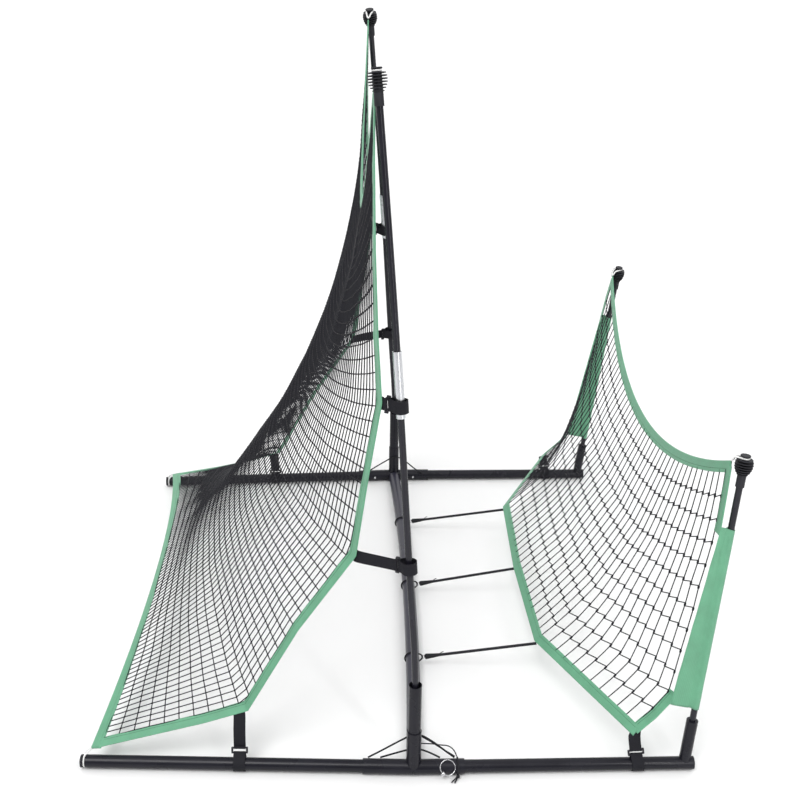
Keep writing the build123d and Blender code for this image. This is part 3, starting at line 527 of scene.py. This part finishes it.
def hem(name, edge_points, inner_points, nodes, seed):
    """A folded band of green cloth sewn round the net's border rope."""
    loop = HEM_TOP + [(s, -t) for s, t in HEM_TOP[::-1][:-1]]
    top_count = len(HEM_TOP)
    slots = [0] * len(loop)
    for k in STITCHED:
        slots[k - 1] = 1
        slots[2 * top_count - 1 - k - 1] = 1
    run = lengths(edge_points)
    rings = []
    inwards = [(inner - edge).normalized() for edge, inner in zip(edge_points, inner_points)]
    for i, (edge, tangent, inward, normal) in enumerate(frames(edge_points, lambda k: inwards[k])):
        at = Vector((run[i] * 22, seed * 7.3, 0))
        ripple = noise.noise(at) * 0.0011
        width = HEM_WIDTH * (1 + 0.03 * noise.noise(at * 0.45))
        stitch = 0.35 if int(run[i] / STITCH_PITCH) % 2 else 1.0
        ring = []
        for k, (share, lift) in enumerate(loop):
            height = lift * MM
            if abs(share - STITCH_AT) < 0.02:
                height = math.copysign(abs(height) * (0.75 + 0.5 * stitch), height)
            fine = noise.noise(at * 6 + Vector((0, share * 5, 0)))
            pucker = ripple * share + 0.00035 * fine * (1 - abs(share - STITCH_AT))
            ring.append(edge + inward * (share * width) + normal * (height + pucker))
        rings.append(ring)
    around = [0.0]
    for a, b in zip(loop, loop[1:] + loop[:1]):
        around.append(around[-1] + math.hypot((b[0] - a[0]) * HEM_WIDTH, (b[1] - a[1]) * MM))
    build = Build()
    build.skin(rings, uv=(run, around), slots=slots)
    piece = build.piece(name, (green_cloth, seam_cloth))
    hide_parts(*nodes)
    return piece


def spread(low, high, count):
    return [low + (high - low) * k / (count - 1) for k in range(count)]


def cross_hem(name, surface, v_edge, v_inner, reach, count, seed):
    sides = spread(-reach, reach, count)
    return hem(name, [surface(u, v_edge) for u in sides], [surface(u, v_inner) for u in sides],
               (name,), seed)


def side_hem(name, surface, side, v_start, v_end, count, seed, nodes):
    shares = spread(v_start, v_end, count)
    return hem(name, [surface(side, v) for v in shares], [surface(side * 0.95, v) for v in shares],
               nodes, seed)


cross_hem("tall_net_top_hem", tall_surface, 0, 0.03, 0.992, 190, 1)
cross_hem("tall_net_front_hem", tall_surface, 1, 0.97, 0.996, 190, 2)
cross_hem("low_net_top_hem", low_surface, 0, 0.06, 0.992, 190, 3)
cross_hem("low_net_bottom_hem", low_surface, 1, 0.94, 0.996, 210, 4)
for side, word in ((-1, "near"), (1, "far")):
    side_hem(f"{word}_tall_net_side_hem", tall_surface, side, 0.012, 0.992, 260, 5 + side,
             ("tall_net_side_hems",))
    side_hem(f"{word}_low_net_upper_side_hem", low_surface, side, 0.02, 0.235, 40, 8 + side,
             ("low_net_side_hems",))
    side_hem(f"{word}_low_net_lower_side_hem", low_surface, side, 0.80, 0.985, 40, 11 + side,
             ("low_net_side_hems",))

# ---------------------------------------------------------------- nets
STRAND = 1.5 * MM
NET_BORDER = 26.5 * MM


def wander(point, seed, amount):
    """Moves a point by a small smooth random amount, so that strands aren't ruled lines."""
    at = point * 9 + Vector((seed, 0, 0))
    return point + noise.noise_vector(at) * amount


def inside_hems(surface, columns, rows):
    """(u, v) of every crossing, from just inside one hem to just inside the one opposite."""
    step = 0.02
    side_reach = []
    for i in range(rows):
        v = i / (rows - 1)
        side_reach.append(1 - NET_BORDER * step / (surface(1, v) - surface(1 - step, v)).length)
    spots = {}
    for j in range(columns):
        share = 2 * j / (columns - 1) - 1
        first = NET_BORDER * step / (surface(share, step) - surface(share, 0)).length
        last = 1 - NET_BORDER * step / (surface(share, 1) - surface(share, 1 - step)).length
        for i in range(rows):
            spots[i, j] = (share * side_reach[i], first + (last - first) * i / (rows - 1))
    return spots


def square_net(name, surface, columns, rows):
    """Knotted mesh of strands across and along the net, with a knot at each crossing."""
    build = Build()
    spots = inside_hems(surface, columns, rows)
    grid = {key: wander(surface(u, v), 3.0, 0.0022) for key, (u, v) in spots.items()}
    for i in range(rows):
        tube(build, [grid[i, j] for j in range(columns)], STRAND, sides=5)
    for j in range(columns):
        tube(build, [grid[i, j] for i in range(rows)], STRAND, sides=5)
    for i in range(1, rows - 1):
        for j in range(1, columns - 1):
            build.blob(grid[i, j], STRAND * rng.uniform(1.6, 2.0))
    return build.piece(name, (net_cord,))


tall_net = square_net("tall_net", tall_surface, 86, 50)
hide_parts("tall_net")


def hexagon_net(name, surface, columns, rows):
    """Mesh of long strands from hem to hem, tied to their neighbours by slanting links."""
    build = Build()
    knot_half = 0.0042
    upper, lower = {}, {}
    for (i, j), (u, v) in inside_hems(surface, columns, rows).items():
        middle = wander(surface(u, v), 5.0, 0.0025)
        run = (surface(u, min(1, v + 0.02)) - surface(u, max(0, v - 0.02))).normalized()
        upper[i, j] = middle - run * knot_half
        lower[i, j] = middle + run * knot_half
    for j in range(columns):
        line = []
        for i in range(rows):
            line += [upper[i, j], lower[i, j]]
        tube(build, nurbs_points(line, 3), STRAND, sides=5)
    for i in range(1, rows - 1):
        for j in range(columns):
            tube(build, [upper[i, j].lerp(lower[i, j], s) for s in (-0.12, 0.2, 0.5, 0.8, 1.12)],
                 lambda share: STRAND * (1.2 + 0.75 * math.sin(math.pi * share)), sides=6)
            if j + 1 < columns:
                tube(build, [upper[i, j], lower[i, j + 1]], STRAND, sides=5)
    return build.piece(name, (net_cord,))


low_net = hexagon_net("low_net", low_surface, 45, 13)
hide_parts("low_net")

# ---------------------------------------------------------------- pole sleeves
SHORT_BASE = Vector((678, -761, AXIS_Z)) * MM
SHORT_TIP = Vector((740.5, -687.5, 797)) * MM
SHORT_DIR = (SHORT_TIP - SHORT_BASE).normalized()
SLEEVE_ROUND = 10.0 * MM
SLEEVE_SEAM = 14.5 * MM
CLOTH = 0.8 * MM


def far_point(point):
    return Vector((point.x, -point.y, point.z))


def pole_point(height):
    return SHORT_BASE + SHORT_DIR * ((height - SHORT_BASE.z) / SHORT_DIR.z)


def sleeve_section(centre, out, side, width, skin, seed, at):
    """One closed line of the sleeve: round the pole, pinched at the seam, flat to the net."""
    line = []
    flap = [SLEEVE_SEAM + (width - SLEEVE_SEAM) * k / 9 for k in range(1, 10)]
    edge_lift = (1.15 * MM - skin) if skin < 1.1 * MM else 0.05 * MM

    def ripple(s):
        p = Vector((s * 38, at * 16 + s * 14, seed))
        gather = 1 + 1.2 * max(0.0, (at - 0.36) / 0.14)
        return noise.noise(p) * 0.0017 * gather * min(1.0, (s - SLEEVE_ROUND) / 0.01)

    for s in reversed(flap):
        swell = 0.0009 * math.sin(math.pi * (s - SLEEVE_SEAM) / (width - SLEEVE_SEAM))
        lift = max(0.0002, edge_lift * (0.25 if s == flap[-1] else 1.0) + swell)
        line.append((min(s, width - skin), lift + ripple(s)))
    line.append((SLEEVE_SEAM, max(0.0002, 0.8 * MM - skin)))
    radius = SLEEVE_ROUND - skin
    for k in range(19):
        angle = math.radians(42 + 276 * k / 18)
        fold = 1 + 0.02 * noise.noise(Vector((angle * 2, at * 25, seed)))
        line.append((radius * fold * math.cos(angle), radius * fold * math.sin(angle)))
    line.append((SLEEVE_SEAM, -max(0.0002, 0.8 * MM - skin)))
    for s in flap:
        swell = 0.0009 * math.sin(math.pi * (s - SLEEVE_SEAM) / (width - SLEEVE_SEAM))
        lift = max(0.0002, edge_lift * (0.25 if s == flap[-1] else 1.0) + swell)
        line.append((min(s, width - skin), -lift + ripple(s)))
    return [centre + out * s + side * t for s, t in line]


def pole_sleeve(word, turn):
    top_edge, bottom_edge = LOW_EDGE[2], LOW_EDGE[4].lerp(LOW_EDGE[5], 0.3)
    outer, inner, run = [], [], []
    count = 70
    for i in range(count):
        share = i / (count - 1)
        centre = pole_point(0.660 + (0.177 - 0.660) * share)
        edge = top_edge.lerp(bottom_edge, share)
        edge = edge + SHORT_DIR * 0.010 * (1 - share) - SHORT_DIR * 0.002
        across = edge - centre
        out = (across - SHORT_DIR * across.dot(SHORT_DIR)).normalized()
        width = max(across.dot(out), 0.024)
        slant = SHORT_DIR * across.dot(SHORT_DIR) / width
        side = SHORT_DIR.cross(out)
        at = share * 0.5
        out_slanted = out + slant
        outer.append(sleeve_section(centre, out_slanted, side, width, 0.0, turn * 3.1, at))
        inner.append(sleeve_section(centre, out_slanted, side, width, CLOTH, turn * 3.1, at))
        run.append(at)
    rings = outer + inner[::-1] + outer[:1]
    runs = run + run[::-1] + run[:1]
    around = [0.0]
    for a, b in zip(outer[0], outer[0][1:] + outer[0][:1]):
        around.append(around[-1] + (b - a).length)
    if turn > 0:
        rings = [[far_point(p) for p in ring][::-1] for ring in rings]
    build = Build()
    build.skin(rings, capped=False, uv=(runs, around))
    piece = build.piece(f"{word}_pole_sleeve", (green_cloth,))
    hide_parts(f"{word}_pole_sleeve")
    across = [sum((b - a).length for a, b in zip(ring, ring[1:])) for ring in outer]


pole_sleeve("near", -1)
pole_sleeve("far", 1)

# ---------------------------------------------------------------- webbing straps
WEBBING = 30 * MM
WEB_HALF = 0.9 * MM
# Across the strap: (share of the half width, height in half thicknesses), with raised selvages.
WEB_TOP = [(-1.0, 0.35), (-0.975, 0.95), (-0.93, 1.1), (-0.88, 0.9), (-0.5, 0.9), (0.0, 0.95),
           (0.5, 0.9), (0.88, 0.9), (0.93, 1.1), (0.975, 0.95), (1.0, 0.35)]


def band(build, points, wides, thick=WEB_HALF, half_width=WEBBING / 2):
    """A flat woven strap along points, with thicker selvages; wides gives its width direction."""
    loop = WEB_TOP + [(s, -t) for s, t in WEB_TOP[::-1]]
    run = lengths(points)
    rings = []
    for i, (p, tangent, wide, flat) in enumerate(frames(points, lambda k: wides[k])):
        rings.append([p + wide * (s * half_width) + flat * (t * thick) for s, t in loop])
    around = [0.0]
    for a, b in zip(loop, loop[1:] + loop[:1]):
        around.append(around[-1] + math.hypot((b[0] - a[0]) * half_width, (b[1] - a[1]) * thick))
    build.skin(rings, uv=(run, around))


HEM_FACE = 2.0 * MM
FRAME_HALF = 2.0 * MM
BAR = 3.2 * MM


def smooth_share(x):
    return x * x * (3 - 2 * x)


def strap(name, change, centre, axis, seam, short_by, radius, buckle_at, thick, surface, v, v_inner):
    """Webbing folded round one bar of a buckle and a tube, and from the other bar under a hem."""
    run = (seam - (seam - centre).normalized() * short_by - centre).normalized()
    face = axis.cross(run).normalized()
    out = (run - axis * run.dot(axis)).normalized()
    slant = run.dot(axis) / run.dot(out)
    fold = FRAME_HALF + thick + 0.05 * MM
    turn = BAR / 2 + thick + 0.05 * MM
    middle, height = buckle_at
    low_bar, high_bar = middle - height / 2 + BAR / 2, middle + height / 2 - BAR / 2

    def on_run(s, t):
        return centre + run * s + face * t

    def fold_points(bar, way):
        return [on_run(bar + way * turn * math.sin(a), fold * math.cos(a))
                for a in (math.pi * k / 10 for k in range(11))]

    build = Build()
    wrapped = math.atan2(fold, low_bar) + math.acos(radius / math.hypot(low_bar, fold))
    loop = fold_points(low_bar, 1)[5:]
    for k in range(33):
        angle = -wrapped - (2 * math.pi - 2 * wrapped) * k / 32
        s, t = radius * math.cos(angle), radius * math.sin(angle)
        loop.append(centre + out * s + face * t + axis * slant * max(0.0, s))
    loop += fold_points(low_bar, 1)[:6]
    points = [change(p) for p in loop]
    band(build, points, [change(axis)] * len(points), thick)

    inward = (surface(-0.95, v_inner) - surface(-1, v)).normalized()
    hem_run = (surface(-1, min(1.0, v + 0.01)) - surface(-1, max(0.0, v - 0.01))).normalized()
    if hem_run.dot(axis) < 0:
        hem_run = -hem_run
    under = inward.cross(hem_run)
    if under.dot(centre - seam) < 0:
        under = -under
    lift = under * (HEM_FACE + thick)
    back = [on_run(high_bar + s, -fold * (1 - 0.5 * s / 0.003)) for s in (0.003, 0.0015)]
    front = fold_points(high_bar, -1)[::-1]
    reach = (seam - centre).length
    line = nurbs_points([
        on_run(high_bar, fold),
        on_run(high_bar + 0.15 * (reach - high_bar), fold * 0.7),
        on_run(high_bar + 0.55 * (reach - high_bar), fold * 0.3),
        seam - inward * 0.001 + lift * 1.3,
        seam + inward * 0.006 + lift,
        seam + inward * 0.014 + lift,
        seam + inward * 0.022 + lift,
    ], 6)
    tail = back + front[:-1] + line
    run_of = lengths(tail)
    wides = [axis.lerp(hem_run, smooth_share(min(1.0, s / run_of[-1]))) for s in run_of]
    points = [change(p) for p in tail]
    band(build, points, [change(w) for w in wides], thick)
    piece = build.piece(name, (webbing_cloth,))
    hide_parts(name)


LEFT_DIR = Vector((-math.cos(TOE_IN), math.sin(TOE_IN), 0))
TEE = Vector((0, -HALF_WIDTH, AXIS_Z)) * MM
POLE_BUCKLE = (28.0 * MM, 10.0 * MM)
RAIL_BUCKLE = (35.0 * MM, 16.0 * MM)


def share_of(points, index, beyond=0.0):
    run = lengths(points)
    return (run[index] + beyond) / run[-1]


# Name, centre on the tube, tube's direction, point on the hem, how far short of it the strap is aimed,
# wrap radius, (middle and height of the buckle), half thickness, surface and its v at hem and inside.
STRAPS = [
    ("upper_strap", Vector((-42.76, -687.44, 970.46)) * MM, Vector((-0.0631, 0.1532, 0.9862)),
     TALL_EDGE[4], 0.0049, 0.0179, POLE_BUCKLE, 0.75 * MM, tall_surface, *[share_of(TALL_EDGE, 4)] * 2),
    ("middle_strap", Vector((-18.95, -738.08, 587.76)) * MM, Vector((-0.0655, 0.1077, 0.992)),
     TALL_EDGE[6], 0.0049, 0.0179, POLE_BUCKLE, 0.75 * MM, tall_surface, *[share_of(TALL_EDGE, 6)] * 2),
    ("lower_strap", TEE + LEFT_DIR * 0.431, LEFT_DIR, Vector((-431, -698.5, 140)) * MM,
     0.009, 0.0174, RAIL_BUCKLE, WEB_HALF, tall_surface, *[share_of(TALL_EDGE, 9, 0.023)] * 2),
    ("low_net_strap", TEE + Vector((0.560, 0, 0)), Vector((1, 0, 0)), LOW_EDGE[6],
     0.0049, 0.0174, RAIL_BUCKLE, WEB_HALF, low_surface, 1.0, 0.93),
]
for name, centre, axis, *rest in STRAPS:
    strap(f"near_{name}", lambda p: p, centre, axis.normalized(), *rest)
    strap(f"far_{name}", far_point, centre, axis.normalized(), *rest)

# ---------------------------------------------------------------- elastics to the cross tube
TUBE_LOOP = 2.2 * MM
LOOP_RING = 21.6 * MM
ELASTIC = 4.0 * MM
CROSS_RISE = math.hypot(22, 7) * MM
CROSS_RADIUS = (0.762 ** 2 + CROSS_RISE ** 2) / (2 * CROSS_RISE)


def cross_point(y):
    share = (math.sqrt(CROSS_RADIUS ** 2 - y * y) - CROSS_RADIUS + CROSS_RISE) / CROSS_RISE
    return Vector((0.022 * share, y, 0.019 + 0.007 * share))


ELASTICS = {
    "far": (0.410, Vector((0.353, 0.369, 0.098))),
    "middle": (0.026, Vector((0.342, 0, 0.104))),
    "near": (-0.335, Vector((0.353, -0.369, 0.098))),
}
ELASTIC_START = 40.2 * MM
PAST_HEM = 6.0 * MM
UNDER_HEM = Vector((0, 0, -3.0)) * MM
WHIP_LENGTH = (-6.0 * MM, 42.0 * MM)
WHIP_TURNS = 75
TAIL_AT = 36.0 * MM


def wrapped(share):
    """The whipping's radius: a blunt front, then a taper towards the cord, ridged by its turns."""
    turns = 0.00035 * math.sin(share * WHIP_TURNS)
    if share < 0.12:
        return 0.0045 + 0.0033 * math.sin(share / 0.12 * math.pi / 2) + turns
    return 0.0078 - 0.0036 * min(1.0, (share - 0.12) / 0.8) + turns


for word, (y, hem_point) in ELASTICS.items():
    centre = cross_point(y)
    run = (hem_point - centre).normalized()
    start = centre + run * ELASTIC_START
    end = hem_point + run * PAST_HEM + UNDER_HEM
    path = nurbs_points([start, (start + end) / 2, end], 24)
    build = Build()
    tube(build, path, ELASTIC, sides=14)
    cord = build.piece(f"{word}_elastic", (black_elastic,))
    wrap = Build()
    wrap_line = [start + run * s for s in spread(*WHIP_LENGTH, 25)]
    tube(wrap, wrap_line, wrapped, sides=14)
    tail_at = start + run * TAIL_AT
    tail_top = tail_at + run * 0.012 + Vector((0, 0, 0.009))
    tail = nurbs_points([tail_at, tail_at + Vector((0.003, 0.001, 0.007)), tail_top])
    tube(wrap, tail, 0.0011, sides=6)
    whip = wrap.piece(f"{word}_elastic_whipping", (black_cord,))
    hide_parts(f"{word}_elastic")

loops = Build()
for word, (y, hem_point) in ELASTICS.items():
    centre = cross_point(y)
    axis = (cross_point(y + 0.001) - centre).normalized()
    out = (hem_point - centre).normalized()
    out = (out - axis * out.dot(axis)).normalized()
    side = axis.cross(out)
    ring = []
    for k in range(44):
        angle = math.radians(38 + 284 * k / 43)
        ring.append(centre + out * (LOOP_RING * math.cos(angle)) + side * (LOOP_RING * math.sin(angle))
                    + axis * 0.0012 * math.sin(angle))
    eye = centre + out * 0.0262
    ring += [eye - side * 0.0072, centre + out * 0.0286, eye + side * 0.0072]
    line = nurbs_points(ring, 4, closed=True)
    tube(loops, line + line[:2], TUBE_LOOP, sides=10, hint=axis, capped=False)
tube_loops = loops.piece("tube_loops", (black_cord,))
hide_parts("tube_loops")


# ---------------------------------------------------------------- white corner elastics
def corner_loop(build, neck, axis, neck_radius, over, corner, radius):
    """A white elastic that passes round a neck and comes together at the net's corner."""
    out = corner - neck
    out = (out - axis * out.dot(axis)).normalized()
    side = axis.cross(out)
    line = []
    for k in range(13):
        angle = math.radians(78 + 204 * k / 12)
        line.append(neck + out * neck_radius * math.cos(angle) + side * neck_radius * math.sin(angle))
    for at, spread_out, low in over:
        line.append(neck + out * at - side * spread_out + axis * low)
    tip = corner + (corner - neck).normalized() * 0.004
    line += [corner - side * 0.0022, tip, corner + side * 0.0022]
    for at, spread_out, low in reversed(over):
        line.append(neck + out * at + side * spread_out + axis * low)
    smooth = nurbs_points(line, 6, closed=True)
    tube(build, smooth + smooth[:2], radius, sides=10, hint=axis, capped=False)


LOOP_CORD = 2.2 * MM
TALL_CAP = Vector((-93.72, -556.37, 1648.44)) * MM
TALL_AXIS = Vector((-0.0783, 0.2106, 0.9744)).normalized()
SHORT_CAP = Vector((742.25, -685.44, 818.83)) * MM
NECK_UP = 17.9 * MM
POLE_RING = 9.2 * MM
RAIL_RING = 13.1 * MM
POLE_OVER = [(0.012, 0.0080, -0.0003), (0.021, 0.0056, -0.0010), (0.0245, 0.0046, -0.0045)]
pole_loops = Build()
for cap, axis, corner in ((TALL_CAP, TALL_AXIS, TALL_EDGE[0]), (SHORT_CAP, SHORT_DIR, LOW_EDGE[0])):
    for mirror in (False, True):
        change = far_point if mirror else (lambda p: p)
        corner_loop(pole_loops, change(cap + axis * NECK_UP), change(axis), POLE_RING, POLE_OVER,
                    change(corner), LOOP_CORD)
pole_loops = pole_loops.piece("pole_cap_loops", (white_elastic,))
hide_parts("pole_cap_loops")

rail_end = TEE + LEFT_DIR * (0.812 / math.cos(TOE_IN))
RAIL_OVER = [(0.010, 0.0110, -0.0002), (0.0185, 0.0080, -0.0012)]
rail_loops = Build()
for mirror in (False, True):
    change = far_point if mirror else (lambda p: p)
    corner_loop(rail_loops, change(rail_end + LEFT_DIR * 0.0035), change(LEFT_DIR), RAIL_RING, RAIL_OVER,
                change(TALL_EDGE[-1]), LOOP_CORD)
rail_loops = rail_loops.piece("rail_cap_loops", (white_elastic,))
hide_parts("rail_cap_loops")

# ---------------------------------------------------------------- lanyards
LANYARD = 2.25 * MM
LANYARD_Y = -741.25
LANYARD_REST = 21.3


def tie_point(x, angle):
    """A cord centre on the inner upper face of the near tee's sleeve."""
    axis_y = -HALF_WIDTH + (abs(x) * math.tan(TOE_IN) if x < 0 else 0)
    turn = math.radians(angle)
    return (x, axis_y + LANYARD_REST * math.cos(turn), AXIS_Z + LANYARD_REST * math.sin(turn))


UPPER_LANYARD = [
    tie_point(-112, 40),
    (-81, LANYARD_Y, 53),
    (-36, LANYARD_Y, 83),
    (6, LANYARD_Y, 109),
    (44, LANYARD_Y, 84),
    (76, LANYARD_Y, 53),
    tie_point(102, 42),
]
LOWER_LANYARD = [
    tie_point(-82, 42),
    (-32, LANYARD_Y, 50),
    (2, LANYARD_Y, 60),
    (36, LANYARD_Y, 50),
    tie_point(66, 44.5),
]


def lanyard(name, route, change=lambda p: p):
    line = nurbs_points([change(p) for p in metres(route)], 16)
    build = Build()
    tube(build, line, LANYARD, sides=10)
    cord = build.piece(name, (black_cord,))
    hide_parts(name)


# The knot: a turn round the tee, a small coil below it, two cut tails and two spare strands.
knot = Build()
WRAP_X = 109.0
turn_line = []
for k in range(22):
    angle = math.radians(-44 + 178 * k / 21)
    turn_line.append(Vector((
        WRAP_X + 0.5 * math.sin(3 * angle),
        -HALF_WIDTH - LANYARD_REST * math.cos(angle),
        AXIS_Z + LANYARD_REST * math.sin(angle),
    )) * MM)
tube(knot, turn_line, LANYARD, sides=10, hint=Vector((1, 0, 0)))
knot_at = Vector((WRAP_X, -787, 9)) * MM
coil = []
for k in range(40):
    angle = 2 * math.pi * k / 13
    coil.append(knot_at + Vector((0.0022 * math.cos(angle / 3 + 1), 0.0026 * math.cos(angle),
                                  0.0026 * math.sin(angle))))
tube(knot, coil, 1.9 * MM, sides=8)
for tip, sag in (((92, -801, 3.0), 0.6), ((100, -802.5, 2.5), -0.6)):
    end = Vector(tip) * MM
    tube(knot, nurbs_points([knot_at, knot_at.lerp(end, 0.5) + Vector((0, sag * MM, 0.001)), end], 8),
         lambda share: LANYARD * (0.85 - 0.2 * share), sides=8)
SPARE = 1.5 * MM
for route in (
    [(20, -737.5, 93), (44, -737.5, 76), (66, -738, 58), (84, -741, 48), (103, -749, 39.5)],
    [(20, -736, 70), (46, -736, 69), (66, -737, 65), (88, -740, 66), (104, -745, 52), (107, -751, 41)],
):
    tube(knot, nurbs_points(metres(route), 10), SPARE, sides=8)
knot_piece = knot.piece("near_lanyard_knot", (black_cord,))
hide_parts("near_lanyard_knot")
lanyard("near_upper_lanyard", UPPER_LANYARD)
lanyard("far_upper_lanyard", UPPER_LANYARD, change=far_point)
lanyard("near_lower_lanyard", LOWER_LANYARD)
